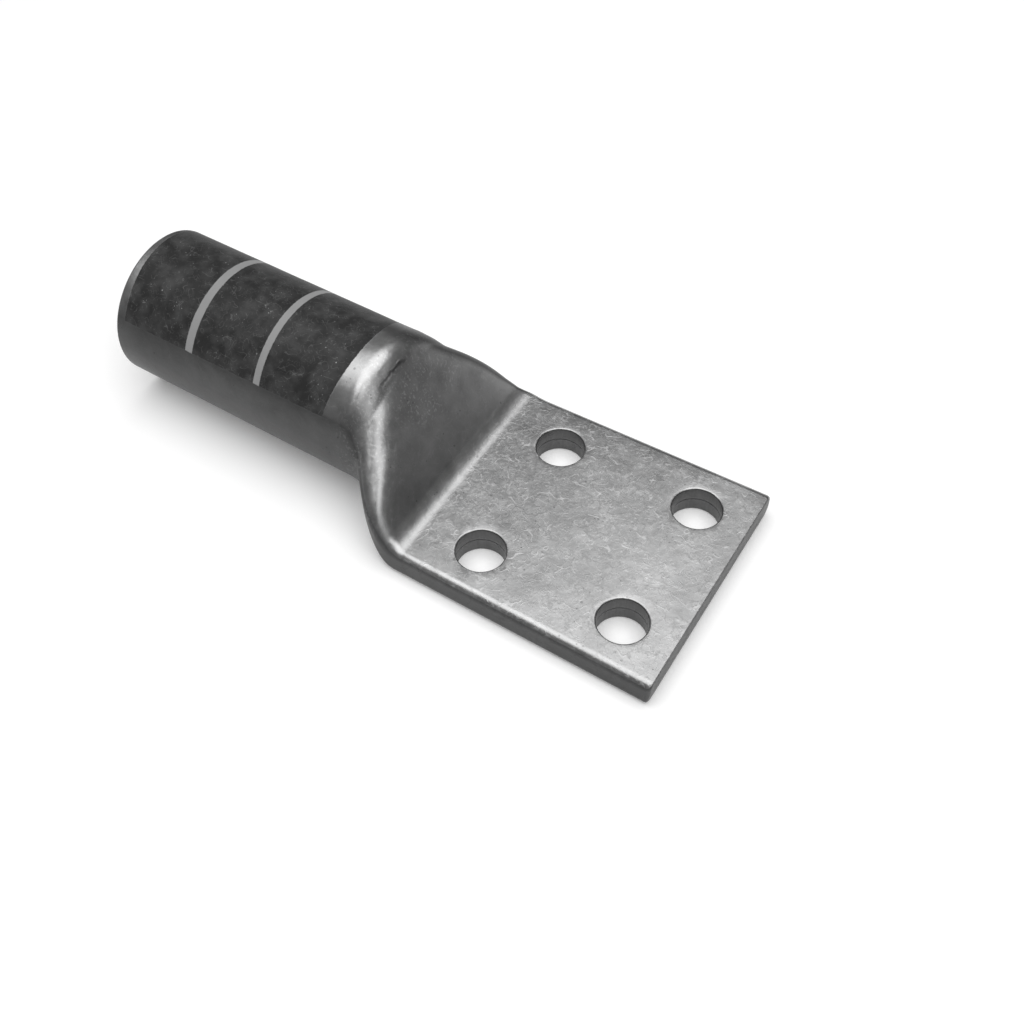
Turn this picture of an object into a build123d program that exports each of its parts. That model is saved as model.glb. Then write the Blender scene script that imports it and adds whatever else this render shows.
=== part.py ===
"""Four-hole compression cable lug, formed from one length of tube.

One end of the tube stays round and takes the stranded cable. The other end is pressed flat
into a tang with four bolt holes. Between them the tube is crushed down a steep slope while
its sides flare out to the width of the tang. The underside is flush from end to end.

Origin: centre of the hole square, on the contact face. +X runs from the barrel towards the
end of the tang, +Y across it and +Z up. Sizes are in millimetres.
"""

from math import asin, cos, degrees, isclose, radians, sin, tan
import os

from build123d import *

# Tube
barrel_diameter = 46.5
tube_wall = 4.9
barrel_length = 78.4
mouth_inner_chamfer = 1.2
mouth_outer_chamfer = 0.6

# Tang, which spreads a little towards its free end
tang_width = 73.9
tang_spread = 1.7
tang_thickness = 9.2
tang_edge_radius = 1.2
tang_corner_radius = 1.6
sheared_edge_radius = 0.4

# Bolt holes
hole_spacing_x = 44.45
hole_spacing_y = 44.45
hole_diameter = 14.3
hole_rim_chamfer = 0.4
hole_to_tang_end = 15.3
hole_to_bend = 20.0

# Press tool that forms the slope
slope_angle = 55.5
crest_radius = 13.4
bend_radius = 6.2

# Sides, which stay as wide as the barrel at first and then flare out quickly
flare_delay = 12.9
flare_margin = 1.8
flare_power = 2.0
roundness = 0.49
upper_roll_length = 6.4
lower_roll_length = 13.2

# Hollow and seam between the two walls of the flattened tube
hollow_tip_height = 1.2
seam_gap = 0.2
seam_depth = 0.5

# Steps between the sections of the lofts
crest_steps = 5
flare_steps = 12
bend_steps = 4

barrel_radius = barrel_diameter / 2
bore_radius = barrel_radius - tube_wall
tang_end_half = tang_width / 2
tang_start_half = tang_end_half - tang_spread / 2
hole_radius = hole_diameter / 2
slope = radians(slope_angle)

tang_end_x = hole_spacing_x / 2 + hole_to_tang_end
bend_x = -hole_spacing_x / 2 - hole_to_bend
bend_end_x = bend_x + bend_radius * tan(slope / 2)
slope_run = (barrel_diameter - tang_thickness) / tan(slope)
crest_start_x = bend_x - slope_run - crest_radius * tan(slope / 2)
mouth_x = crest_start_x - barrel_length
flare_start_x = crest_start_x + flare_delay
flare_end_x = bend_x - flare_margin


def across(x, z):
    """Plane across the lug at x, centred at height z, with its own X along the lug's Y."""
    return Plane(origin=(x, 0, z), x_dir=(0, 1, 0), z_dir=(1, 0, 0))


def top_height(x, inset=0.0):
    """Height of the pressed top face at x, or of the surface that lies inset inside it."""
    crest = crest_radius - inset
    bend = bend_radius + inset
    if x <= crest_start_x:
        return barrel_diameter - inset
    if x <= crest_start_x + crest * sin(slope):
        drop = crest - (crest**2 - (x - crest_start_x) ** 2) ** 0.5
        return barrel_diameter - inset - drop
    if x <= bend_end_x - bend * sin(slope):
        return tang_thickness + (bend_x - x) * tan(slope) - inset / cos(slope)
    if x <= bend_end_x:
        rise = bend - (bend**2 - (bend_end_x - x) ** 2) ** 0.5
        return tang_thickness - inset + rise
    return tang_thickness - inset


def ease(x, start, end):
    """Smooth step from 0 at start to 1 at end."""
    share = min(max((x - start) / (end - start), 0.0), 1.0)
    return share * share * (3 - 2 * share)


def half_width(x):
    """Half of the outside width at x: a flare from the barrel's radius, then the tang's spread."""
    flare = min(max((x - flare_start_x) / (flare_end_x - flare_start_x), 0.0), 1.0)
    spread = min(max((x - bend_end_x) / (tang_end_x - bend_end_x), 0.0), 1.0)
    flared = tang_start_half - (tang_start_half - barrel_radius) * (1 - flare) ** flare_power
    return flared + (tang_end_half - tang_start_half) * spread


def corner_radius(x, roll_length):
    """Radius of a rolled side at x, which tightens to the tang's edge radius at the bend."""
    rolled = roundness * top_height(x)
    blend = ease(x, bend_end_x - roll_length, bend_end_x)
    return rolled + (tang_edge_radius - rolled) * blend


def round_section(x, radius):
    """Circle about the barrel's axis, in eight arcs that pair with a crushed section's edges."""
    flat = 2 * degrees(asin(1 - 2 * roundness))
    arcs = []
    for quarter in (0, 90, 180, 270):
        arcs.append(CenterArc((0, 0), radius, quarter - flat / 2, flat))
        arcs.append(CenterArc((0, 0), radius, quarter + flat / 2, 90 - flat))
    return across(x, barrel_radius) * make_face(arcs)


def crushed_section(x, low, high, half, upper, lower):
    """Flat top, bottom and sides, joined by two upper and two lower round corners."""
    outline = Polyline((half, low), (half, high), (-half, high), (-half, low), close=True)
    face = make_face(outline)
    corners = face.vertices().group_by(Axis.Y)
    face = fillet(corners[-1], upper)
    corners = face.vertices().group_by(Axis.Y)
    face = fillet(corners[0], lower)
    return across(x, 0) * face


def outside_section(x):
    """Outer outline of the crushed tube at x."""
    upper = corner_radius(x, upper_roll_length)
    lower = corner_radius(x, lower_roll_length)
    return crushed_section(x, 0.0, top_height(x), half_width(x), upper, lower)


def hollow_section(x):
    """Outline of the space inside the crushed tube at x, one wall in from the outside."""
    high = top_height(x, tube_wall)
    limit = roundness * (high - tube_wall)
    upper = min(corner_radius(x, upper_roll_length), limit)
    lower = min(corner_radius(x, lower_roll_length), limit)
    return crushed_section(x, tube_wall, high, half_width(x) - tube_wall, upper, lower)


def between(start, end, steps):
    """Evenly spaced places from start to end, both included."""
    return [start + (end - start) * step / steps for step in range(steps + 1)]


def crushed_length():
    """Solid form of the crushed length: the crest, the flaring slope and the bend."""
    crest = [round_section(crest_start_x, barrel_radius)]
    for x in between(crest_start_x, flare_start_x, crest_steps)[1:]:
        crest.append(outside_section(x))
    slope_end_x = bend_end_x - bend_radius * sin(slope)
    flare = [outside_section(x) for x in between(flare_start_x, slope_end_x, flare_steps)]
    bend = []
    for turn in between(slope, 0.0, bend_steps):
        bend.append(outside_section(bend_end_x - bend_radius * sin(turn)))
    return loft(crest) + loft(flare) + loft(bend)


def crushed_hollow():
    """Hollow that the walls leave inside the crushed length, down to a closed slit."""
    crest = [round_section(crest_start_x, bore_radius)]
    for x in between(crest_start_x, flare_start_x, crest_steps)[1:]:
        crest.append(hollow_section(x))
    roof_bend = bend_radius + tube_wall
    tip_rise = 2 * tube_wall + hollow_tip_height - tang_thickness
    tip_x = bend_end_x - (roof_bend**2 - (roof_bend - tip_rise) ** 2) ** 0.5
    flare = [hollow_section(x) for x in between(flare_start_x, tip_x, flare_steps)]
    return loft(crest + flare[1:], ruled=True)


def barrel():
    """Round end of the tube, with the outer edge of its mouth taken off."""
    tube = extrude(across(mouth_x, barrel_radius) * Circle(barrel_radius), barrel_length)
    mouth = tube.edges().filter_by(GeomType.CIRCLE).sort_by(Axis.X)[0]
    return chamfer(mouth, mouth_outer_chamfer)


def bore():
    """Space for the cable, with a chamfered mouth."""
    plane = across(mouth_x, barrel_radius)
    hole = extrude(plane * Circle(bore_radius), barrel_length)
    wide = plane * Circle(bore_radius + mouth_inner_chamfer)
    lead_in = extrude(wide, mouth_inner_chamfer, taper=45)
    return hole + lead_in


def tang():
    """Flat end: rolled long edges, rounded corners in plan and a sheared free end."""
    rolled = loft([outside_section(bend_end_x), outside_section(tang_end_x)], ruled=True)
    start = (bend_end_x, tang_start_half)
    end = (tang_end_x, tang_end_half)
    outline = Polyline(start, end, (end[0], -end[1]), (start[0], -start[1]), close=True)
    plan = make_face(outline)
    plan = fillet(plan.vertices().group_by(Axis.X)[-1], tang_corner_radius)
    sheared = extrude(plan, tang_thickness)
    rim = sheared.faces().sort_by(Axis.X)[-1].edges().filter_by(Axis.Y)
    sheared = fillet(rim, sheared_edge_radius)
    return rolled & sheared


def hole_discs(radius):
    """Four discs on the corners of the hole square, on the contact face."""
    return Sketch() + GridLocations(hole_spacing_x, hole_spacing_y, 2, 2) * Circle(radius)


def bolt_holes():
    """Four through holes, punched square to the contact face."""
    return extrude(hole_discs(hole_radius), tang_thickness)


def seam():
    """Hairline gap between the two walls, open in the holes and along the sheared end."""
    rings = extrude(hole_discs(hole_radius + seam_depth), seam_gap)
    rings = Pos(0, 0, (tang_thickness - seam_gap) / 2) * rings
    slit = Box(2 * seam_depth, tang_width - 2 * tube_wall, seam_gap)
    return rings + Pos(tang_end_x, 0, tang_thickness / 2) * slit


outside = barrel() + crushed_length() + tang()
lug = outside - bore() - crushed_hollow() - bolt_holes()
circles = lug.edges().filter_by(GeomType.CIRCLE)
rims = circles.filter_by(lambda edge: isclose(edge.radius, hole_radius))
lug = chamfer(rims, hole_rim_chamfer) - seam()
print("lug", "faces", len(lug.faces()), "volume", round(lug.volume, 1))

os.makedirs("parts", exist_ok=True)
export_step(lug, "parts/lug.step")
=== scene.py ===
# %% [markdown]
# # A tinned cable lug
# A cable lug joins a thick stranded cable to a busbar. It starts as a plain copper tube. A
# press flattens one end, a punch makes four bolt holes in it, and the whole is tin plated
# and tumbled in a drum. This lesson makes it the same way round: a rule for the pressed
# shape, a skin wrapped around that rule, a punch, and last the finish and the light.
#
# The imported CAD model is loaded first. It fixes where the lug stands and how large it is.
# The skin made here takes its place, with softer edges and a shape nearer to the real one.

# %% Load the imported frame
from math import asin, cos, pi, radians, sin, tan

import bmesh
import bpy
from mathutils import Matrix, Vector


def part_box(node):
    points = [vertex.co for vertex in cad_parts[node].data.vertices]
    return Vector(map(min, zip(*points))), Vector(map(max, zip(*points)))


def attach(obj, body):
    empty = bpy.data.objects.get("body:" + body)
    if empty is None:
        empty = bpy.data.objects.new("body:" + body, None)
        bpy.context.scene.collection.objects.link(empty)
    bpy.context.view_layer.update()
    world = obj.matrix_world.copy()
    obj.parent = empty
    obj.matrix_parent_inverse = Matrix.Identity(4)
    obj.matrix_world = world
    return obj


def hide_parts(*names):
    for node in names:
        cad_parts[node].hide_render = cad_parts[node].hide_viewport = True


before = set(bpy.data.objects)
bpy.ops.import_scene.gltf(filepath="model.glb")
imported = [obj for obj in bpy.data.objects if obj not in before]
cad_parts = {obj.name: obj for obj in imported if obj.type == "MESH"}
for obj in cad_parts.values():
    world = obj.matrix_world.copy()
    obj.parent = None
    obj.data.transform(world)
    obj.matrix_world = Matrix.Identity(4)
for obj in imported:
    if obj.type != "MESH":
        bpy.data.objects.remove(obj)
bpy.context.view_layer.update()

mm = 0.001
low_corner, high_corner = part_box("lug")
cad_sides = [round((high - low) / mm, 1) for low, high in zip(low_corner, high_corner)]
print("CAD lug", cad_sides, "mm")

# %% [markdown]
# ## The camera
# The lug is seen from the front right and well above, at a little under 40 cm. A camera's
# place could be set by eye. Here it was worked out from where the hole rims, the tang's edges
# and the barrel's outline fall in the picture, because four holes on a known square fix a
# camera almost completely. The numbers below are what that fit gave.

# %% Camera
view = bpy.data.cameras.new("camera")
view.sensor_width = 36
view.lens = 46.07
view.shift_x = 0.0625
view.shift_y = -0.0459
view.clip_start = 0.01
camera = bpy.data.objects.new("camera", view)
camera.location = (0.09754, -0.20328, 0.30367)
camera.rotation_euler = (radians(40.130), radians(2.128), radians(33.020))
bpy.context.collection.objects.link(camera)
bpy.context.scene.camera = camera
print("camera at", [round(value, 4) for value in camera.location])

# %% [markdown]
# ## Arithmetic on nodes
# Both the shape and the finish follow rules that are easiest to read as sums. A node tree
# could be wired by hand, but a sum of ten terms is then ten boxes. This small class wraps a
# node's output, so that `a + b * 2` adds the Math nodes by itself. It works in a geometry
# tree and in a material alike.

# %% A number that varies over the surface
def plug(socket, value):
    """Link a varying number to a socket, or set the socket to a plain value."""
    if isinstance(value, Field):
        socket.id_data.links.new(value.socket, socket)
    elif value is not None:
        socket.default_value = value


def arithmetic(tree, operation, *values, clamp=False):
    """One Math node of the given operation."""
    node = tree.nodes.new("ShaderNodeMath")
    node.operation = operation
    node.use_clamp = clamp
    for place, value in enumerate(values):
        plug(node.inputs[place], value)
    return Field(node.outputs[0])


class Field:
    """A node's output, on which Python's arithmetic adds Math nodes."""

    def __init__(self, socket):
        self.socket = socket
        self.tree = socket.id_data

    def __add__(self, other):
        return arithmetic(self.tree, "ADD", self, other)

    def __radd__(self, other):
        return arithmetic(self.tree, "ADD", other, self)

    def __sub__(self, other):
        return arithmetic(self.tree, "SUBTRACT", self, other)

    def __rsub__(self, other):
        return arithmetic(self.tree, "SUBTRACT", other, self)

    def __mul__(self, other):
        return arithmetic(self.tree, "MULTIPLY", self, other)

    def __rmul__(self, other):
        return arithmetic(self.tree, "MULTIPLY", other, self)

    def __truediv__(self, other):
        return arithmetic(self.tree, "DIVIDE", self, other)

    def __gt__(self, other):
        return arithmetic(self.tree, "GREATER_THAN", self, other)

    def __lt__(self, other):
        return arithmetic(self.tree, "LESS_THAN", self, other)

    def __abs__(self):
        return arithmetic(self.tree, "ABSOLUTE", self)

    def clamp(self):
        return arithmetic(self.tree, "ADD", self, 0.0, clamp=True)

    def of(self, operation, other=None):
        return arithmetic(self.tree, operation, self, other)


def mix(share, first, second):
    """first where share is 0, second where it is 1."""
    return (1 - share) * first + share * second

# %% Nodes that are not sums
def node(tree, kind, output=0, **inputs):
    """Add a node and return one of its outputs. Inputs go by their titles, with _ for a blank."""
    made = tree.nodes.new(kind)
    for name, value in inputs.items():
        plug(made.inputs[name.replace("_", " ")], value)
    return Field(made.outputs[output])


def split(tree, vector):
    """The three numbers of a vector."""
    apart = tree.nodes.new("ShaderNodeSeparateXYZ")
    plug(apart.inputs["Vector"], vector)
    return [Field(socket) for socket in apart.outputs]


def scaled(tree, vector, scale):
    """The vector, made longer or shorter by a factor."""
    made = tree.nodes.new("ShaderNodeVectorMath")
    made.operation = "SCALE"
    plug(made.inputs["Vector"], vector)
    plug(made.inputs["Scale"], scale)
    return Field(made.outputs["Vector"])

# %% [markdown]
# ## The pressing rule
# On the real lug the tube stays round as far as the press jaw's crest. Then the jaw drives
# the top wall down a steep slope onto the bottom wall, and the metal has to go somewhere, so
# the sides flare out until the tang is about as wide as half the tube's girth. The tube's
# section at any place is a round-cornered box: its height follows the jaw, its width follows
# the flare, and its corners tighten towards the tang. Such a shape could be pushed about by
# hand, but a rule can be changed by one number. All sizes here are in millimetres.

# %% Sizes
barrel_diameter = 46.5
tube_wall = 4.9
barrel_length = 78.4
mouth_chamfer = 1.2
mouth_edge_radius = 0.8
overall_length = 191.336
tang_width = 75.2
tang_spread = 1.7
tang_thickness = 9.2
tang_edge_radius = 2.5
tang_corner_radius = 1.2
sheared_edge_radius = 0.4
undercut_length = 0.9
undercut_height = 4.2
hole_spacing = 44.45
hole_diameter = 14.3
hole_rim_radius = 0.5
hole_to_tang_end = 15.8
hole_to_bend = 21.275
slope_angle = 61.3
crest_radius = 8.0
bend_radius = 6.6
seam_gap = 0.2
seam_depth = 0.5
hollow_tip_height = 1.2

barrel_radius = barrel_diameter / 2
bore_radius = barrel_radius - tube_wall
slope = radians(slope_angle)
tang_end_x = hole_spacing / 2 + hole_to_tang_end
bend_x = -hole_spacing / 2 - hole_to_bend
bend_end_x = bend_x + bend_radius * tan(slope / 2)
slope_run = (barrel_diameter - tang_thickness) / tan(slope)
crest_start_x = bend_x - slope_run - crest_radius * tan(slope / 2)
mouth_x = tang_end_x - overall_length
print("mouth", round(mouth_x, 2), "crest", round(crest_start_x, 2), "tang end", round(tang_end_x, 2))

# %% The press jaw
def top_height(x, inset=0.0):
    """Height of the pressed top at x, or of the surface that lies inset inside it."""
    crest = crest_radius - inset
    bend = bend_radius + inset
    if x <= crest_start_x:
        return barrel_diameter - inset
    if x <= crest_start_x + crest * sin(slope):
        return barrel_diameter - inset - crest + (crest**2 - (x - crest_start_x) ** 2) ** 0.5
    if x <= bend_end_x - bend * sin(slope):
        return tang_thickness + (bend_x - x) * tan(slope) - inset / cos(slope)
    if x <= bend_end_x:
        return tang_thickness - inset + bend - (bend**2 - (bend_end_x - x) ** 2) ** 0.5
    return tang_thickness - inset


def ease(x, start, end):
    """Smooth step from 0 at start to 1 at end."""
    share = min(max((x - start) / (end - start), 0.0), 1.0)
    return share * share * (3 - 2 * share)


def soft_floor(value, softness):
    """The value where it is well above 0, and a smooth bend towards 0 where it is not."""
    return (value + (value**2 + softness) ** 0.5) / 2

# %% [markdown]
# ## Flare, swell and wander
# No pressed part is dead true. On the real lug the sides roll round just before the tang,
# the left one swells out at the bend, where the metal folded softly, and the barrel stands a
# little off the tang's middle line. A perfect shape would be simpler, and would look like a
# drawing. Each of these is a smooth step from one place to another, so they add up without
# a kink.

# %% Width and middle line
flare_start_x = -61.6
flare_margin = 0.525
flare_power = 2.0
flare_softness = 0.004
edge_swell = 0.65
edge_roll_length = 6.4
far_swell_size = 0.9
far_swell_rise = (-49.0, -43.6)
far_swell_fall = (-43.2, -36.0)
mouth_aside = 0.85
barrel_slant = 1.25
bend_aside = 0.4
edge_aside = 0.2
wander_margin = 9.0


def edge_roll(x):
    """Share of the way to the tang's rolled edges at x."""
    return ease(x, bend_end_x - edge_roll_length, bend_end_x)


def far_swell(x):
    """How much further out the left side stands at the bend."""
    return far_swell_size * ease(x, *far_swell_rise) * (1 - ease(x, *far_swell_fall))


def half_width(x):
    """Half of the outside width at x: a flare from the barrel's radius, then the tang's spread."""
    flare = (x - flare_start_x) / (bend_x - flare_margin - flare_start_x)
    flare = min(soft_floor(flare, flare_softness), 1.0)
    spread = min(max((x - bend_end_x) / (tang_end_x - bend_end_x), 0.0), 1.0)
    bend_half = (tang_width - tang_spread) / 2 - edge_swell
    flared = bend_half - (bend_half - barrel_radius) * (1 - flare) ** flare_power
    return flared + tang_spread / 2 * spread + edge_swell * edge_roll(x) + far_swell(x) / 2


def sideways(x):
    """How far the lug's middle stands off its line at x."""
    along_barrel = min(max((x - mouth_x) / barrel_length, 0.0), 1.0)
    barrel_middle = mouth_aside - barrel_slant * along_barrel
    wander = barrel_middle + (bend_aside - barrel_middle) * ease(x, bend_x - wander_margin, bend_end_x)
    return wander + edge_aside * edge_roll(x) + far_swell(x) / 2


print("half width at the bend", round(half_width(bend_x), 2), "mm")

# %% Corners of the section
roundness = 0.49
crest_slack = 0.075
crest_slack_rise = (-67.0, -60.0)
anvil_radius = 1.2
anvil_length = 14.5
flat_taper = 1.06
flat_softness = 1.0
least_shoulder = 0.8
ridge_size = 0.32
ridge_rise = (-68.0, -61.0)
ridge_fall = (-56.0, -49.0)


def upper_radius(x):
    """Upright radius of the upper corner at x, which tightens over the last stretch."""
    rolled = (roundness - crest_slack * ease(x, *crest_slack_rise)) * top_height(x)
    return rolled + (tang_edge_radius - rolled) * edge_roll(x)


def lower_radius(x):
    """Radius of the lower corner at x, which tightens on the anvil and then rolls like the upper."""
    rolled = roundness * top_height(x)
    tightened = rolled + (anvil_radius - rolled) * ease(x, bend_end_x - anvil_length, bend_end_x)
    return tightened + (tang_edge_radius - anvil_radius) * edge_roll(x)


def shoulder(x):
    """Level radius of the upper corner at x, outside the jaw's flat, which is a triangle."""
    flat_at_bend = tang_width / 2 - tang_spread / 2 - tang_edge_radius
    flat = flat_at_bend - flat_taper * (top_height(x) - tang_thickness)
    return max(half_width(x) - soft_floor(flat, flat_softness), least_shoulder * upper_radius(x))


def ridge(x):
    """How much sharper the upper right corner turns at its two ends than between them."""
    return ridge_size * ease(x, *ridge_rise) * (1 - ease(x, *ridge_fall))


print("shoulder at the bend", round(shoulder(bend_x), 2), "mm")

# %% One section of the tube
round_fade = 5.0


def ring(x, low, high, half, upper, lower, broad=None, roundly=0.0, inside=0.0):
    """The sizes of one section, by the names that the skin reads them by."""
    broad = upper if broad is None else broad
    return dict(x=x, low=low, high=high, half=half, upper=upper, lower=lower, broad=broad,
                ridge=ridge(x) * (1 - inside), roundly=roundly, inside=inside, aside=sideways(x))


def round_ring(x, radius, inside=0.0):
    """A truly round section of the barrel or its bore."""
    low = barrel_radius - radius
    high = barrel_radius + radius
    return ring(x, low, high, radius, radius, radius, roundly=1.0, inside=inside)


def crushed_ring(x, inset=0.0):
    """A section of the crushed length, of its outside or of the hollow inside it."""
    high = top_height(x, inset)
    limit = roundness * (high - inset)
    upper = min(upper_radius(x), limit)
    lower = min(lower_radius(x), limit)
    roundly = 1 - ease(x, crest_start_x, crest_start_x + round_fade)
    broad = shoulder(x) if inset == 0 and x < bend_end_x else upper
    return ring(x, inset, high, half_width(x) - inset, upper, lower, broad, roundly, float(inset > 0))


def steps(start, end, count):
    """Evenly spaced numbers from start to end, both included."""
    return [start + (end - start) * step / count for step in range(count + 1)]

# %% [markdown]
# ## The stations
# The skin is one long sleeve. It begins at the tip of the hollow deep inside, comes out
# along the bore, turns over the lip of the mouth, runs along the outside to the end of the
# tang and closes inside the seam there. Each station is one section of it. Inside and outside
# could be two shells joined at the lip, but one sleeve leaves no gap. The stations lie close
# together where the metal turns quickly and far apart where it is straight, which puts the
# faces where they are seen.

# %% Stations inside the tube
hollow_steps = 50
bore_steps = 6
hollow_gap = 0.5
roof_bend = bend_radius + tube_wall
tip_rise = 2 * tube_wall + hollow_tip_height - tang_thickness
tip_x = bend_end_x - (roof_bend**2 - (roof_bend - tip_rise) ** 2) ** 0.5
tip = crushed_ring(tip_x, tube_wall)
tip_middle = (tip["low"] + tip["high"]) / 2
stations = [ring(tip_x, tip_middle, tip_middle, tip["half"] - tip["upper"], 0, 0, inside=1.0)]
for x in steps(tip_x, crest_start_x + hollow_gap, hollow_steps):
    stations.append(crushed_ring(x, tube_wall))
for x in steps(crest_start_x, mouth_x + mouth_chamfer, bore_steps):
    stations.append(round_ring(x, bore_radius, inside=1.0))
stations.append(round_ring(mouth_x, bore_radius + mouth_chamfer, inside=1.0))
print("stations inside", len(stations))

# %% Stations over the lip and along the barrel
lip_steps = 6
barrel_steps = 25
lip_gap = 3.0
lip = []
for turn in steps(0.0, pi / 2, lip_steps):
    x = mouth_x + mouth_edge_radius * (1 - sin(turn))
    radius = barrel_radius - mouth_edge_radius * (1 - cos(turn))
    lip.append(round_ring(x, radius))
stations += lip[::-1]
stations += [round_ring(x, barrel_radius) for x in steps(mouth_x + lip_gap, crest_start_x, barrel_steps)]
print("stations to the crest", len(stations))

# %% Stations down the slope, round the bend and along the tang
slope_steps = 84
bend_steps = 16
tang_steps = 26
crest_gap = 0.4
bend_gap = 0.06
tang_gap = 1.0
corner_gap = 0.5
slope_end_x = bend_end_x - bend_radius * sin(slope)
tang_stop_x = tang_end_x - tang_corner_radius - corner_gap
stations += [crushed_ring(x) for x in steps(crest_start_x + crest_gap, slope_end_x, slope_steps)]
for share in steps(bend_gap, 1.0, bend_steps):
    stations.append(crushed_ring(bend_end_x - bend_radius * sin(slope * (1 - share))))
stations += [crushed_ring(x) for x in steps(bend_end_x + tang_gap, tang_stop_x, tang_steps)]
print("stations to the tang's corners", len(stations))

# %% Stations round the sheared end
end_roundings = ((tang_corner_radius, 10), (sheared_edge_radius, 5), (undercut_length, 9))


def tang_end_ring(x):
    """A section near the sheared end: rounded in plan and on top, and undercut by the shear."""
    plan = max(x - (tang_end_x - tang_corner_radius), 0.0)
    edge = max(x - (tang_end_x - sheared_edge_radius), 0.0)
    under = max(x - (tang_end_x - undercut_length), 0.0) / undercut_length
    cut = tang_corner_radius - (tang_corner_radius**2 - plan**2) ** 0.5
    drop = sheared_edge_radius - (sheared_edge_radius**2 - edge**2) ** 0.5
    low = undercut_height * (1 - max(1 - under**2, 0.0) ** 0.5)
    high = tang_thickness - drop
    radius = min(tang_edge_radius - drop / 2, roundness * (high - low))
    return ring(x, low, high, half_width(x) - cut, radius, radius)


rounded = set()
for length, count in end_roundings:
    for turn in steps(0.0, pi / 2, count):
        rounded.add(round(tang_end_x - length * (1 - sin(turn)), 4))
stations += [tang_end_ring(min(x, tang_end_x)) for x in sorted(rounded)]
print("stations to the sheared end", len(stations))

# %% Stations into the seam of the sheared end
middle = tang_thickness / 2
seam_low = middle - seam_gap / 2
seam_high = middle + seam_gap / 2
seam_half = tang_width / 2 - tube_wall
for x in (tang_end_x, tang_end_x - seam_depth):
    stations.append(ring(x, seam_low, seam_high, seam_half, seam_gap / 2, seam_gap / 2))
stations.append(ring(tang_end_x - seam_depth, middle, middle, seam_half - seam_gap / 2, 0, 0))
print("stations in all", len(stations))

# %% [markdown]
# ## The rail
# The stations are handed to Geometry Nodes as a mesh of loose points, one for each station,
# with the sizes as named attributes. The tree could work the rule out by itself, but the rule
# is far shorter in Python, and points with attributes are what a tree can read.

# %% Rail with one point for each station
lengths = ("x", "low", "high", "half", "upper", "lower", "broad", "aside")
shares = ("ridge", "roundly", "inside")
rail_mesh = bpy.data.meshes.new("rail")
rail_mesh.from_pydata([(station["x"] * mm, 0, 0) for station in stations], [], [])
for name in lengths + shares:
    scale = mm if name in lengths else 1.0
    values = rail_mesh.attributes.new("rail_" + name, "FLOAT", "POINT").data
    for place, station in zip(values, stations):
        place.value = station[name] * scale
rail = bpy.data.objects.new("rail", rail_mesh)
bpy.context.collection.objects.link(rail)
print("rail points", len(rail_mesh.vertices))

# %% [markdown]
# ## The punch
# A bolt hole on the real lug is punched, which leaves a rounded rim where the metal was
# drawn in, and it cuts through both walls of the flattened tube, so a hairline seam shows
# half way down its wall. The punch is made as the shape of the air it leaves: a turned
# profile with a flare at both ends and a thin collar for the seam. Cutting with it gives
# rim, wall and seam in one go.

# %% Profile of the punch
rim_steps = 6
overshoot = 1.0
hole_wall = hole_diameter / 2
rim_edge = hole_wall + hole_rim_radius
collar = hole_wall + seam_depth


def rim_arc(height, way):
    """Points of one flared rim, from the wall out to the face at that height."""
    points = []
    for turn in steps(0.0, pi / 2, rim_steps):
        radius = hole_wall + hole_rim_radius * (1 - cos(turn))
        points.append((radius, height - way * hole_rim_radius * (1 - sin(turn))))
    return points


profile = [(0.0, -overshoot), (rim_edge, -overshoot)] + rim_arc(0.0, -1)[::-1]
profile += [(hole_wall, seam_low), (collar, seam_low), (collar, seam_high), (hole_wall, seam_high)]
profile += rim_arc(tang_thickness, 1)
profile += [(rim_edge, tang_thickness + overshoot), (0.0, tang_thickness + overshoot)]
print("points of the profile", len(profile))

# %% Turned punch
punch_sides = 96
weld_distance = 1e-6
turning = bmesh.new()
corners = [turning.verts.new((radius * mm, 0, height * mm)) for radius, height in profile]
edges = [turning.edges.new(pair) for pair in zip(corners, corners[1:])]
outline = corners + edges
bmesh.ops.spin(turning, geom=outline, cent=(0, 0, 0), axis=(0, 0, 1), angle=2 * pi, steps=punch_sides)
bmesh.ops.remove_doubles(turning, verts=turning.verts, dist=weld_distance)
bmesh.ops.recalc_face_normals(turning, faces=turning.faces)
punch_mesh = bpy.data.meshes.new("punch")
turning.to_mesh(punch_mesh)
turning.free()
punch = bpy.data.objects.new("punch", punch_mesh)
bpy.context.collection.objects.link(punch)
print("punch faces", len(punch_mesh.polygons))

# %% [markdown]
# ## The tree that presses and punches
# The lug's body follows one rule from end to end, which is what Geometry Nodes are good at.
# A flat grid is rolled into a sleeve: its rows read the rail's stations, its columns go once
# around the section. In each quarter the columns run along half of the side, around the
# corner and along half of the top, and signs mirror them into the other quarters. Boxes and
# Booleans alone could not flow from a circle into a flat bar like this.

# %% Named inputs of the tree
wave_height = 0.12
tree_inputs = {
    "Corner Steps": ("NodeSocketInt", 22),
    "Flat Steps": ("NodeSocketInt", 8),
    "Hole Spacing": ("NodeSocketFloat", hole_spacing * mm),
    "Hole Reach": ("NodeSocketFloat", rim_edge * mm),
    "Tang End": ("NodeSocketFloat", tang_end_x * mm),
    "Waviness": ("NodeSocketFloat", wave_height * mm),
    "Wave Size": ("NodeSocketFloat", 18.0 * mm),
    "Wave Seed": ("NodeSocketFloat", 3.0),
}
press = bpy.data.node_groups.new("pressed_and_punched_tube", "GeometryNodeTree")
face = press.interface
sockets = {}
face.new_socket("Rail", in_out="INPUT", socket_type="NodeSocketGeometry")
sockets["Punch"] = face.new_socket("Punch", in_out="INPUT", socket_type="NodeSocketObject")
for title, (kind, value) in tree_inputs.items():
    sockets[title] = face.new_socket(title, in_out="INPUT", socket_type=kind)
    sockets[title].default_value = value
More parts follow.
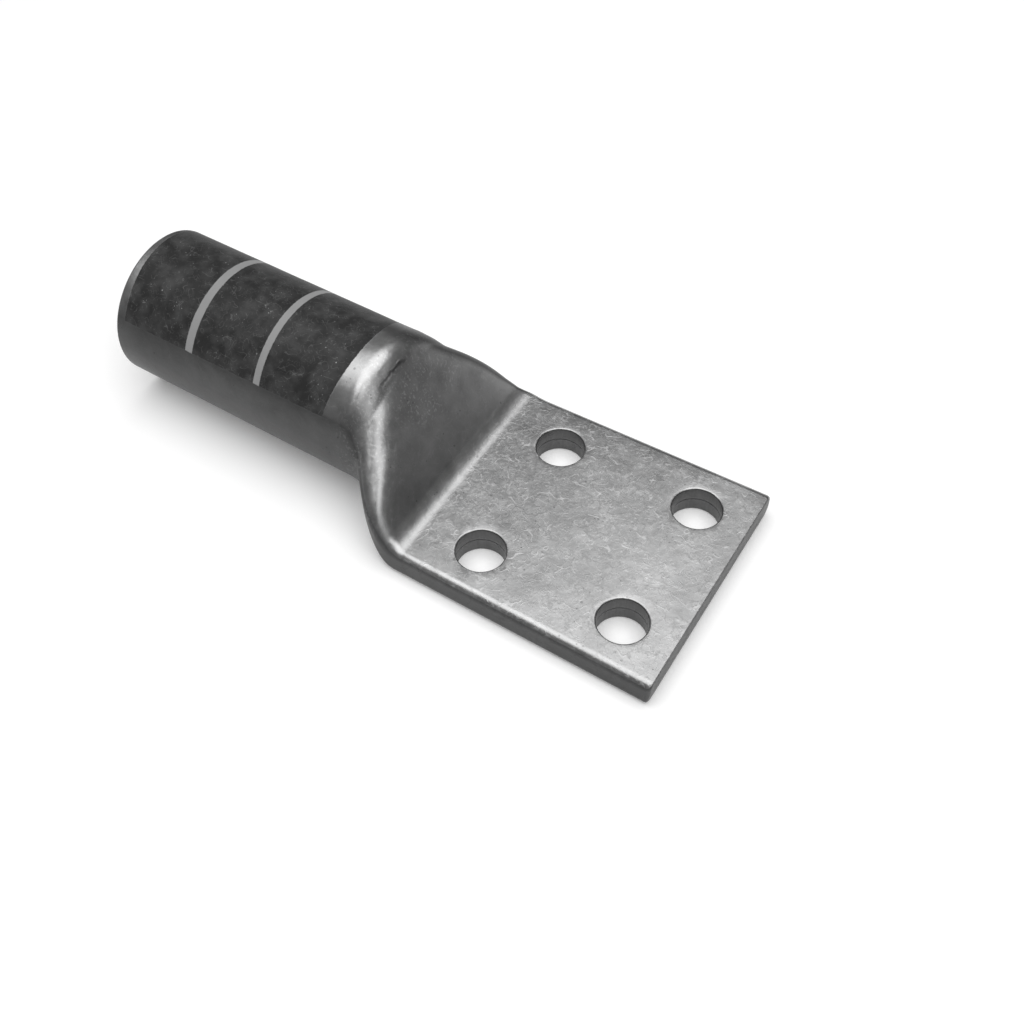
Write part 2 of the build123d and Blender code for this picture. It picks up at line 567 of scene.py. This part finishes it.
for title in ("Skin", "Bore", "Sheared"):
    sockets[title] = face.new_socket(title, in_out="INPUT", socket_type="NodeSocketMaterial")
face.new_socket("Lug", in_out="OUTPUT", socket_type="NodeSocketGeometry")
given = press.nodes.new("NodeGroupInput").outputs
given = {socket.name: Field(socket) for socket in given if socket.name}
print("tree inputs", list(given))

# %% Grid with a row for each station and a column for each step around
nudge = 1e-5
corner, flat = given["Corner Steps"], given["Flat Steps"]
quarter_steps = corner + flat * 2
around = quarter_steps * 4
rows = node(press, "GeometryNodeAttributeDomainSize", Geometry=given["Rail"])
grid = node(press, "GeometryNodeMeshGrid", Vertices_X=rows, Vertices_Y=around + 1)
index = node(press, "GeometryNodeInputIndex")
row = (index / (around + 1) + nudge).of("FLOOR")
column = (index - row * (around + 1)).of("FLOORED_MODULO", around)
print("rows", len(stations))

# %% Walk around a quarter of the section: side, corner, top
# Quarters 0 and 1 are the upper ones, 1 and 2 the right ones.
quarter = (column / quarter_steps + nudge).of("FLOOR")
along = column - quarter * quarter_steps
odd = quarter.of("FLOORED_MODULO", 2.0)
along = mix(odd, along, quarter_steps - along)
side_share = (along / flat).clamp()
corner_share = ((along - flat) / corner).clamp()
top_share = ((along - flat - corner) / flat).clamp()
to_left = (quarter > 0.5) * (quarter < 2.5) * -2.0 + 1.0
to_top = (quarter < 1.5) * 2.0 - 1.0

# %% Read the station's sizes from the rail
def rail_size(name):
    """The rail's named size at this row's station."""
    size = node(press, "GeometryNodeInputNamedAttribute", Name="rail_" + name)
    return node(press, "GeometryNodeSampleIndex", "Value", Geometry=given["Rail"], Value=size, Index=row)


x, low, high, half = [rail_size(name) for name in ("x", "low", "high", "half")]
upper, lower, roundly, inside = [rail_size(name) for name in ("upper", "lower", "roundly", "inside")]
aside, broad, ridge_here = [rail_size(name) for name in ("aside", "broad", "ridge")]
is_top = (to_top + 1.0) / 2.0
radius = mix(is_top, lower, upper)
level_radius = mix(is_top, lower, broad)
centre = (low + high) / 2.0
half_height = (high - low) / 2.0

# %% Place every point of the sleeve
turn = corner_share * (pi / 2)
power = is_top * (quarter > 0.5) * ridge_here + 1.0
out_share = turn.of("COSINE").clamp().of("POWER", power)
up_share = turn.of("SINE").clamp().of("POWER", power)
box_y = (half - level_radius) * (1 - top_share) + level_radius * out_share
box_z = (half_height - radius) * side_share + radius * up_share
flat_turn = asin(1 - 2 * roundness)
whole_turn = side_share * flat_turn + corner_share * (pi / 2 - 2 * flat_turn) + top_share * flat_turn
round_y = half * whole_turn.of("COSINE")
round_z = half_height * whole_turn.of("SINE")
y = mix(roundly, box_y, round_y) * to_left + aside
z = centre + mix(roundly, box_z, round_z) * to_top
place = node(press, "ShaderNodeCombineXYZ", X=x, Y=y, Z=z)
sleeve = node(press, "GeometryNodeSetPosition", Geometry=grid, Position=place)
sleeve = node(press, "GeometryNodeStoreNamedAttribute", Geometry=sleeve, Name="inside", Value=inside)
sleeve = node(press, "GeometryNodeMergeByDistance", Geometry=sleeve, Distance=weld_distance)
print("nodes for the sleeve", len(press.nodes))

# %% [markdown]
# ## Waves left by the press
# A tube that has been pressed is never quite true. Its barrel, slope and shoulders carry
# faint waves that bend the reflections, while the tang is squeezed flat between the dies. The
# waves could be painted as a bump, but then the outline would stay straight. A little noise
# pushes the points themselves in and out, and fades away at the bend and at the mouth.

# %% Push the points before the bend in and out
bend_margin = 2.5
bend_fade = 6.0
mouth_margin = 5.0
mouth_fade = 20.0
position = node(press, "GeometryNodeInputPosition")
normal = node(press, "GeometryNodeInputNormal")
waves = press.nodes.new("ShaderNodeTexNoise")
waves.noise_dimensions = "4D"
wave_scale = arithmetic(press, "DIVIDE", 1.0, given["Wave Size"])
for title, value in (("Vector", position), ("W", given["Wave Seed"]), ("Scale", wave_scale), ("Detail", 1.0)):
    plug(waves.inputs[title], value)
lengthwise = split(press, position)[0]
before_bend = ((lengthwise - bend_x * mm + bend_margin * mm) / (-bend_fade * mm)).clamp()
after_mouth = ((lengthwise - (mouth_x + mouth_margin) * mm) / (mouth_fade * mm)).clamp()
push = (Field(waves.outputs["Fac"]) - 0.5) * given["Waviness"] * 2.0 * before_bend * after_mouth
sleeve = node(press, "GeometryNodeSetPosition", Geometry=sleeve, Offset=scaled(press, normal, push))
print("waves of up to", wave_height, "mm")

# %% [markdown]
# ## Four holes and three finishes
# What repeats is placed by the tree: the punch stands on the four points of a two by two
# grid, and one Boolean takes all four out of the sleeve. The faces then get their finish by
# where they lie. The bore stays as drawn, the hole walls and the sheared end show torn metal
# under the tin, and everything else is the tumbled skin.

# %% Punch the holes
holes_each_way = 2
spacing = given["Hole Spacing"]
hole_grid = node(
    press, "GeometryNodeMeshGrid",
    Size_X=spacing, Size_Y=spacing, Vertices_X=holes_each_way, Vertices_Y=holes_each_way,
)
punch_shape = node(press, "GeometryNodeObjectInfo", "Geometry", Object=given["Punch"])
punches = node(press, "GeometryNodeInstanceOnPoints", Points=hole_grid, Instance=punch_shape)
punches = node(press, "GeometryNodeRealizeInstances", Geometry=punches)
cut = press.nodes.new("GeometryNodeMeshBoolean")
cut.operation = "DIFFERENCE"
cut.solver = "EXACT"
plug(cut.inputs["Mesh 1"], sleeve)
plug(cut.inputs["Mesh 2"], punches)
print("holes", holes_each_way**2)

# %% Tell the walls of the holes, the sheared end and the bore apart
steep_below = 0.5
x_here, y_here, _ = split(press, node(press, "GeometryNodeInputPosition"))
_, _, upright = split(press, node(press, "GeometryNodeInputNormal"))
across_x = abs(abs(x_here) - spacing / 2.0)
across_y = abs(abs(y_here) - spacing / 2.0)
hole_distance = (across_x * across_x + across_y * across_y).of("SQRT")
steep = abs(upright) < steep_below
in_hole = (hole_distance < given["Hole Reach"]) * steep
at_end = (x_here > given["Tang End"] - undercut_length * mm) * steep
torn = in_hole.of("MAXIMUM", at_end)
in_bore = node(press, "GeometryNodeInputNamedAttribute", Name="inside") > 0.5
in_bore = in_bore * (x_here < bend_x * mm)

# %% Give each face its finish
whole = node(press, "GeometryNodeRealizeInstances", Geometry=Field(cut.outputs["Mesh"]))
whole = node(press, "GeometryNodeSetShadeSmooth", Geometry=whole)
whole = node(press, "GeometryNodeSetMaterial", Geometry=whole, Material=given["Skin"])
for area, title in ((in_bore, "Bore"), (torn, "Sheared")):
    whole = node(press, "GeometryNodeSetMaterial", Geometry=whole, Selection=area, Material=given[title])
press_out = press.nodes.new("NodeGroupOutput")
plug(press_out.inputs["Lug"], whole)
print("nodes in the tree", len(press.nodes))

# %% Press the lug
skin = bpy.data.materials.new("tumbled_tin")
bore_finish = bpy.data.materials.new("drawn_bore")
sheared = bpy.data.materials.new("sheared_tin")
settings = {"Punch": punch, "Skin": skin, "Bore": bore_finish, "Sheared": sheared}
settings.update({title: value for title, (_, value) in tree_inputs.items()})
modifier = rail.modifiers.new("press", "NODES")
modifier.node_group = press
for title, value in settings.items():
    modifier[sockets[title].identifier] = value

depsgraph = bpy.context.evaluated_depsgraph_get()
lug_mesh = bpy.data.meshes.new_from_object(rail.evaluated_get(depsgraph))
rail.modifiers.remove(modifier)
for helper in (rail, punch):
    bpy.data.objects.remove(helper)
lug = bpy.data.objects.new("cable_lug", lug_mesh)
bpy.context.collection.objects.link(lug)
lug_mesh.materials.pop(index=0)
print("faces", len(lug_mesh.polygons), "finishes", [finish.name for finish in lug_mesh.materials])

# %% Check that the lug is closed, and hand it to the frame
sharp_angle = 35
check = bmesh.new()
check.from_mesh(lug_mesh)
open_edges = [edge for edge in check.edges if len(edge.link_faces) != 2]
print("open edges", len(open_edges), "triangles", len(check.calc_loop_triangles()))
print("volume", round(check.calc_volume(signed=True) / mm**3, 1), "mm3")
check.free()
lug_mesh.set_sharp_from_angle(angle=radians(sharp_angle))
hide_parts("lug")
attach(lug, "root")

# %% [markdown]
# ## Marks left by the drum
# After plating, lugs are tumbled together and carry fine curved scuffs, pits and soft
# clouds. A painted picture could hold them, but noise has no seams and any size. The marks
# are built once as a group of shader nodes, and each finish places it with its own values.

# %% Start and end of a group of shader nodes
def start_group(name, inputs, outputs):
    """A shader node group with the named inputs and outputs, and the fields that read it."""
    tree = bpy.data.node_groups.new(name, "ShaderNodeTree")
    for title, value in inputs.items():
        kind = "NodeSocketVector" if value is None else "NodeSocketFloat"
        socket = tree.interface.new_socket(title, in_out="INPUT", socket_type=kind)
        if value is not None:
            socket.default_value = value
    for title in outputs:
        tree.interface.new_socket(title, in_out="OUTPUT", socket_type="NodeSocketFloat")
    ends = tree.nodes.new("NodeGroupInput").outputs
    return tree, {title: Field(ends[title]) for title in inputs}


def finish_group(tree, outputs):
    """Link the fields to the outputs of their names."""
    end = tree.nodes.new("NodeGroupOutput")
    for title, value in outputs.items():
        plug(end.inputs[title], value)
    print("nodes in", tree.name, len(tree.nodes))


def placed_group(tree, group, **values):
    """Place a group in a material with its own values and return its outputs by name."""
    made = tree.nodes.new("ShaderNodeGroup")
    made.node_tree = group
    for name, value in values.items():
        plug(made.inputs[name.replace("_", " ")], value)
    return {socket.name: Field(socket) for socket in made.outputs}

# %% Noise, and a climb from 0 to 1
seed_step = 37.0


def noise(tree, place, size, detail=2.0, seed=0.0):
    """Noise from 0 to 1 whose lumps are about size apart."""
    texture = tree.nodes.new("ShaderNodeTexNoise")
    moved = tree.nodes.new("ShaderNodeVectorMath")
    plug(moved.inputs[0], place)
    plug(moved.inputs[1], arithmetic(tree, "MULTIPLY", seed, seed_step))
    scale = arithmetic(tree, "DIVIDE", 1.0, size)
    for title, value in (("Vector", Field(moved.outputs["Vector"])), ("Scale", scale), ("Detail", detail)):
        plug(texture.inputs[title], value)
    return Field(texture.outputs["Fac"])


def between(value, start, end):
    """0 below start, 1 above end and a straight climb from one to the other."""
    return ((value - start) / (end - start)).clamp()

# %% Group for the marks of the drum
fine_share = 0.8
pits_per_mark = 1.8
pit_threshold = 0.42
pit_reach = 0.55
mark_inputs = {"Place": None, "Mark Size": 3.2, "Line Width": 0.02, "Seed": 0.0}
marks, given = start_group("drum_marks", mark_inputs, ("Scuffs", "Pits", "Clouds"))
place, mark_size = given["Place"], given["Mark Size"]


def mark_noise(share, seed, detail=0.0):
    """Noise with lumps of a share of the mark size."""
    return noise(marks, place, mark_size * share, detail, given["Seed"] + seed)


def scuff_lines(curls, gaps, thick, thin, gap_end):
    """Short curved lines: where the first noise crosses its middle, unless the second is low."""
    curl = abs(curls - 0.5) / given["Line Width"]
    return between(curl, thick, thin) * between(gaps, 0.50, gap_end)


long_scuffs = scuff_lines(mark_noise(1.0, 0.0), mark_noise(0.8, 7.0), thick=1.0, thin=0.45, gap_end=0.58)
fine_scuffs = scuff_lines(mark_noise(0.45, 13.0), mark_noise(0.7, 19.0), thick=1.6, thin=0.8, gap_end=0.60)
pit_cells = marks.nodes.new("ShaderNodeTexVoronoi")
plug(pit_cells.inputs["Vector"], place)
plug(pit_cells.inputs["Scale"], arithmetic(marks, "DIVIDE", pits_per_mark, mark_size))
pits = Field(pit_cells.outputs["Distance"]) < (mark_noise(1.5, 29.0) - pit_threshold) * pit_reach
clouds = mark_noise(1.9, 37.0, detail=3.0) * 2.0 - 1.0
scuffs = long_scuffs.of("MAXIMUM", fine_scuffs * fine_share)
finish_group(marks, {"Scuffs": scuffs, "Pits": pits, "Clouds": clouds})

# %% Group for drawn lines, stretched one way
line_inputs = {"Place": None, "Along": 30.0, "Fineness": 0.35, "Seed": 0.0}
lines, given = start_group("drawn_lines", line_inputs, ("Lines",))
line_x, line_y, line_z = split(lines, given["Place"])
narrow_y = line_y / given["Fineness"]
narrow_z = line_z / given["Fineness"]
narrow = node(lines, "ShaderNodeCombineXYZ", X=line_x / given["Along"], Y=narrow_y, Z=narrow_z)
line_noise = noise(lines, narrow, 1.0, detail=3.0, seed=given["Seed"])
finish_group(lines, {"Lines": line_noise * 2.0 - 1.0})

# %% [markdown]
# ## Tumbled tin
# Tin plate is a soft grey metal. It takes a satin polish where the lug rubs against others
# in the drum, which is mostly on its flat and its upper side, while upright and hollow faces
# stay duller. Upright faces and the left side of the bend are also darkened as painted shade,
# and the slope is lightened towards its foot as painted light. One even grey would look like
# paint. Colour and roughness follow the marks and the way a face is turned, so that the
# scuffs catch light.

# %% Start and end of a metal finish
def start_finish(material):
    """The material's tree and shader, and the place in millimetres and the normal on the lug."""
    material.use_nodes = True
    tree = material.node_tree
    shader = tree.nodes["Principled BSDF"]
    coordinates = tree.nodes.new("ShaderNodeTexCoord").outputs
    place = scaled(tree, Field(coordinates["Object"]), 1 / mm)
    return tree, shader, place, split(tree, place), split(tree, Field(coordinates["Normal"]))


def grey(tree, value):
    """A colour with the same amount of red, green and blue, a trace cooler than neutral."""
    return node(tree, "ShaderNodeCombineColor", Red=value * 0.998, Green=value, Blue=value * 1.002)


def finish_surface(tree, shader, value, roughness, metallic, height):
    """Link colour, roughness, metal share and relief in millimetres to the shader."""
    plug(shader.inputs["Base Color"], grey(tree, value))
    plug(shader.inputs["Roughness"], roughness)
    plug(shader.inputs["Metallic"], metallic)
    bump = tree.nodes.new("ShaderNodeBump")
    bump.inputs["Strength"].default_value = 1.0
    bump.inputs["Distance"].default_value = mm
    plug(bump.inputs["Height"], height)
    plug(shader.inputs["Normal"], Field(bump.outputs["Normal"]))
    print("nodes in the finish", len(tree.nodes))

# %% Bare tin: marks, clouds and blotches
tin_grey = 0.36
scuff_lift = 0.14
blotch_size = 21.0
tree, shader, place, (x, y, z), (normal_x, normal_y, normal_z) = start_finish(skin)
on_tang = between(x, bend_x + 1.0, bend_x + 4.0)
marks_here = placed_group(tree, marks, Place=place, Mark_Size=3.2, Line_Width=0.02, Seed=1.0)
small_marks = placed_group(tree, marks, Place=place, Mark_Size=1.5, Line_Width=0.035, Seed=5.0)
scuffs = marks_here["Scuffs"].of("MAXIMUM", small_marks["Scuffs"] * 0.5) * (on_tang * 0.6 + 0.4)
clouds = marks_here["Clouds"] * 0.7 + small_marks["Clouds"] * 0.3
tin_value = tin_grey * (clouds * 0.45 + 1.0) * (1 - marks_here["Pits"] * 0.3)
tin_value = tin_value + scuffs * scuff_lift
dark_lines = between(small_marks["Clouds"], 0.10, 0.02) * between(small_marks["Clouds"], -0.10, -0.02)
dark_lines = dark_lines * on_tang * between(marks_here["Clouds"], -0.1, 0.15)
tin_value = tin_value * (1 - dark_lines * 0.2)
blotches = noise(tree, place, blotch_size, detail=1.0, seed=40.0) - 0.5
tin_value = tin_value * (blotches * 0.5 + 1.0)

# %% Painted shade on steep faces, eased by painted light towards the slope's foot
flank_painted_shade = 0.78
plain_roughness = 0.34
far_painted_shade_reach = (-40.0, -43.0)
upper_painted_light = (-60.0, -54.0)
foot_painted_light = (-52.0, -46.0)
# Painted shade: faces that turn away from upright, and the left side of the bend, are darkened in colour.
flank = between(normal_z, 0.70, 0.45)
far_flank = between(normal_y, 0.15, 0.40) * between(x, *far_painted_shade_reach) * 0.95
flank = flank.of("MAXIMUM", far_flank)
on_slope = between(normal_x, 0.5, 0.8) * (1 - far_flank)
# Painted light: the slope gets less of that painted shade, and least near its foot.
slope_painted_light = between(x, *upper_painted_light) * 0.10 + between(x, *foot_painted_light) * 0.18 + 0.10
tin_value = tin_value * (1 - flank * (flank_painted_shade - on_slope * slope_painted_light))
tin_roughness = plain_roughness + clouds * 0.10 + scuffs * 0.14 + flank * 0.10

# %% Relief: scuffs and a pebbled slope
pebble_start = (-72.0, -66.0)
pebble_end = (-48.0, -53.0)
slope_part = between(x, *pebble_start) * between(x, *pebble_end)
fine_pebbles = noise(tree, place, 1.1, detail=2.0, seed=3.0)
coarse_pebbles = noise(tree, place, 2.6, detail=1.0, seed=4.0)
pebbles = fine_pebbles + coarse_pebbles * 0.8
pebbled = slope_part * between(noise(tree, place, 12.0, detail=1.0, seed=6.0), 0.35, 0.6)
specks = between(noise(tree, place, 0.8, detail=1.0, seed=50.0), 0.58, 0.66) * pebbled
tin_value = tin_value + specks * 0.07
height = scuffs * 0.018 - marks_here["Pits"] * 0.02 + clouds * 0.07 + pebbles * pebbled * 0.028

# %% A short crease across the crest
crease_x = -62.2
crease_slant = 0.04
crease_above = 30.0
crease_wander = noise(tree, place, 3.0, detail=2.0, seed=8.0) - 0.5
crease_line = abs(x - y * crease_slant - crease_x + crease_wander * 1.2)
crease_length = between(y, -10.0, -6.0) * between(y, 3.0, 0.0) * (z > crease_above)
crease = between(crease_line, 0.5, 0.12) * crease_length
crease_hollow = between(crease_line, 2.2, 0.2) * crease_length
height = height - crease * 0.10 - crease_hollow * 0.12
# Painted shade: the crease's line is darkened in colour as well as sunk.
tin_value = tin_value * (1 - crease * 0.6)
print("crease at", crease_x, "mm")

# %% [markdown]
# ## The ink band
# The barrel's upper side carries a printed band of dark ink with two light stripes, which
# tell the crimper where to press. The real one is rolled on, so its edges are a little
# ragged, and handling has rubbed specks out of it. It could be a thin strip of mesh, but ink
# has next to no thickness. A mask from the place along the barrel and the angle about its
# axis lays it on instead.

# %% Edges of the ink band
band_start_x = -150.9
band_end_x = -72.2
band_half_angle = 64.5
band_aside = 0.4
band_slant = 0.055
band_bow = 2.6
bow_reach = 21.0
band_edge = 0.1
side_edge = 0.25
ragged = (noise(tree, place, 0.9, detail=2.0, seed=11.0) - 0.5) * 0.5
across = (y - band_aside) / barrel_radius
up = (z - barrel_radius) / barrel_radius
angle = across.of("ARCTAN2", up) * (180 / pi)
past_start = x - band_start_x + y * band_slant + ragged
before_end = band_end_x - (y / bow_reach) * (y / bow_reach) * band_bow - x + ragged
within_sides = band_half_angle - abs(angle) + ragged * 2.5
inked = between(past_start, -band_edge, band_edge) * between(before_end, -band_edge, band_edge)
inked = inked * between(within_sides, -side_edge, side_edge)
print("ink band from", band_start_x, "to", band_end_x, "mm")

# %% Two light stripes, and wear of the ink
stripe_places = ((-125.7, -123.0), (-99.9, -97.6))
stripe_edge = 0.1
stripe_x = x + ragged * 0.6
stripes = 0.0
for start, end in stripe_places:
    stripe = between(stripe_x, start - stripe_edge, start + stripe_edge)
    stripes = stripes + stripe * between(stripe_x, end + stripe_edge, end - stripe_edge)
rubbed = placed_group(tree, marks, Place=place, Mark_Size=2.4, Line_Width=0.018, Seed=21.0)
worn = rubbed["Pits"] * between(rubbed["Clouds"], -0.2, 0.3)
ink = inked * (1 - stripes) * (1 - worn * 0.85)
ink_value = 0.020 + between(rubbed["Clouds"], -0.2, 0.5) * 0.035 + rubbed["Scuffs"] * 0.04
stripe_here = inked * stripes
print("stripes", len(stripe_places))

# %% Join tin, light stripes and ink
stripe_grey = 0.26
stripe_roughness = 0.6
ink_roughness = 0.5
value = mix(stripe_here, tin_value, stripe_grey + clouds * 0.03)
value = mix(ink, value, ink_value)
roughness = mix(stripe_here, tin_roughness, stripe_roughness)
roughness = mix(ink, roughness, ink_roughness + rubbed["Clouds"] * 0.06)
metallic = 1 - (ink + stripe_here).of("MINIMUM", 1.0)
height = height + ink * 0.02 - ink * rubbed["Scuffs"] * 0.01
finish_surface(tree, shader, value, roughness, metallic, height)
shader.inputs["Specular IOR Level"].default_value = 0.2

# %% [markdown]
# ## Sheared metal and the drawn bore
# A punch and a shear leave upright streaks, and the tin lies thin and dull on them. The bore
# keeps the long lines of the tube's drawing. Two textures would do, but both are the same
# lines seen two ways, so both use the group of drawn lines, turned by the way its place is
# handed over.

# %% Sheared walls of the holes and the end
sheared_grey = 0.13
sheared_roughness = 0.42
end_darkening = 0.38
tree, shader, place, (x, y, z), _ = start_finish(sheared)
turned = node(tree, "ShaderNodeCombineXYZ", X=z, Y=x, Z=y)
streaks = placed_group(tree, lines, Place=turned, Along=9.0, Fineness=0.7, Seed=2.0)["Lines"]
marks_here = placed_group(tree, marks, Place=place, Mark_Size=3.0, Line_Width=0.02, Seed=9.0)
at_tang_end = between(x, tang_end_x - 2.0, tang_end_x - 1.0)
value = sheared_grey * (streaks * 0.3 + 1.0) * (marks_here["Clouds"] * 0.15 + 1.0)
# The sheared end is made darker in colour than the hole walls.
value = value * (1 - at_tang_end * end_darkening)
roughness = sheared_roughness + streaks * 0.08 + marks_here["Scuffs"] * 0.1
finish_surface(tree, shader, value, roughness, 1.0, streaks * 0.012 + marks_here["Scuffs"] * 0.01)

# %% Drawn bore
bore_grey = 0.30
bore_roughness = 0.48
tree, shader, place, _, _ = start_finish(bore_finish)
drawn = placed_group(tree, lines, Place=place, Along=60.0, Fineness=0.8, Seed=4.0)["Lines"]
marks_here = placed_group(tree, marks, Place=place, Mark_Size=4.0, Line_Width=0.015, Seed=15.0)
value = bore_grey * (drawn * 0.18 + 1.0) * (marks_here["Clouds"] * 0.12 + 1.0)
roughness = bore_roughness + drawn * 0.06
finish_surface(tree, shader, value, roughness, 1.0, drawn * 0.01 + marks_here["Scuffs"] * 0.006)

# %% [markdown]
# ## Floor and light
# The picture was taken on white under soft light. A wide pale floor takes the lug's shadow.
# One large softbox hangs level above it, turned so that its edge runs across the tang, and
# gives the long soft highlights. A second, smaller one at the front right lights the near
# shoulder and side. The world adds a low grey, which is what the steep slope mirrors and why
# it looks dark. The floor is lifted a little for the rays that see it, so it reads as white,
# while what lights the lug stays at a plain level.

# %% Floor
reach = 3.0
floor_gap = 0.00005
floor_lift = 0.12
floor_corners = [(-reach, -reach, 0), (reach, -reach, 0), (reach, reach, 0), (-reach, reach, 0)]
floor_mesh = bpy.data.meshes.new("floor")
floor_mesh.from_pydata(floor_corners, [], [(0, 1, 2, 3)])
floor = bpy.data.objects.new("floor", floor_mesh)
floor.location = (0, 0, -floor_gap)
bpy.context.collection.objects.link(floor)
paper = bpy.data.materials.new("white_paper")
paper.use_nodes = True
paper_shader = paper.node_tree.nodes["Principled BSDF"]
paper_shader.inputs["Base Color"].default_value = (0.9, 0.9, 0.9, 1)
paper_shader.inputs["Roughness"].default_value = 0.9
paper_shader.inputs["Specular IOR Level"].default_value = 0.0
rays = paper.node_tree.nodes.new("ShaderNodeLightPath").outputs
seen = Field(rays["Is Camera Ray"]) + Field(rays["Is Glossy Ray"]) + Field(rays["Is Transmission Ray"])
paper_shader.inputs["Emission Color"].default_value = (1, 1, 1, 1)
plug(paper_shader.inputs["Emission Strength"], seen * floor_lift)
floor_mesh.materials.append(paper)
print("floor", reach * 2, "m wide")

# %% Two softboxes
def soft_light(name, width, depth, brightness, location):
    """A rectangular lamp, sized in metres and as bright for its area, facing down until turned."""
    light = bpy.data.lights.new(name, "AREA")
    light.shape = "RECTANGLE"
    light.size = width
    light.size_y = depth
    light.energy = brightness * pi * light.size * light.size_y
    lamp = bpy.data.objects.new(name, light)
    lamp.location = location
    bpy.context.collection.objects.link(lamp)
    print(name, round(light.energy, 1), "W")
    return lamp


softbox = soft_light("softbox", 1.2, 1.35, 2.5, (-0.05, -0.06, 1.0))
softbox.rotation_euler = (0, 0, radians(-40))
side_box = soft_light("side_box", 0.45, 0.60, 2.1, (0.68, -0.36, 0.60))
aim = Vector((-0.06, 0.0, 0.03)) - side_box.location
side_box.rotation_euler = aim.to_track_quat("-Z", "Y").to_euler()

# %% World and view
world = bpy.data.worlds.new("world")
world.use_nodes = True
world.node_tree.nodes["Background"].inputs["Color"].default_value = (0.2, 0.2, 0.2, 1)
bpy.context.scene.world = world
bpy.context.scene.view_settings.view_transform = "Standard"
print("view", bpy.context.scene.view_settings.view_transform)
